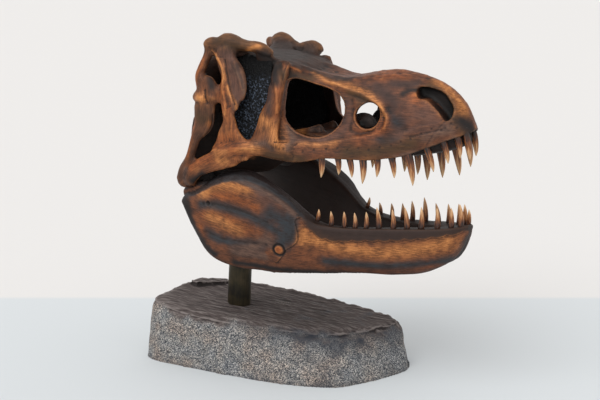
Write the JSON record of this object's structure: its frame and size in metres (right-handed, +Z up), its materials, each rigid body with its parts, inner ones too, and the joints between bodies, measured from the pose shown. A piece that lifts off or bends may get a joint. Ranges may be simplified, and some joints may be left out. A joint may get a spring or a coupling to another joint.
{
  "type": "tyrannosaur skull replica on a stand",
  "caption": "Reduced-size cast replica of a tyrannosaur skull with open jaws, dry-brushed copper finish, held on a metal rod in a stone-effect base.",
  "frame": {"origin": "point on the table, under the middle of the skull's length axis, in the plane of the base's flat underside", "axes": "+X towards the tip of the snout, +Y to the animal's left side, +Z up"},
  "size_m": [0.5428, 0.2635, 0.5312],
  "materials": {
    "bone": "cast resin, painted dark brown and dry-brushed with copper and gold",
    "rod": "steel pipe, dark bronze patina, satin",
    "base": "grey speckled granite effect, rough, with a purple-brown striated top"
  },
  "bodies": {
    "root": {"snout": "bone", "cheek_left": "bone", "cheek_right": "bone", "temple_left": "bone", "temple_right": "bone", "skull_roof": "bone", "braincase_palate": "bone", "lower_jaw_left": "bone", "lower_jaw_right": "bone", "stand_rod": "rod", "stand_base": "base"}
  },
  "joints": []
}
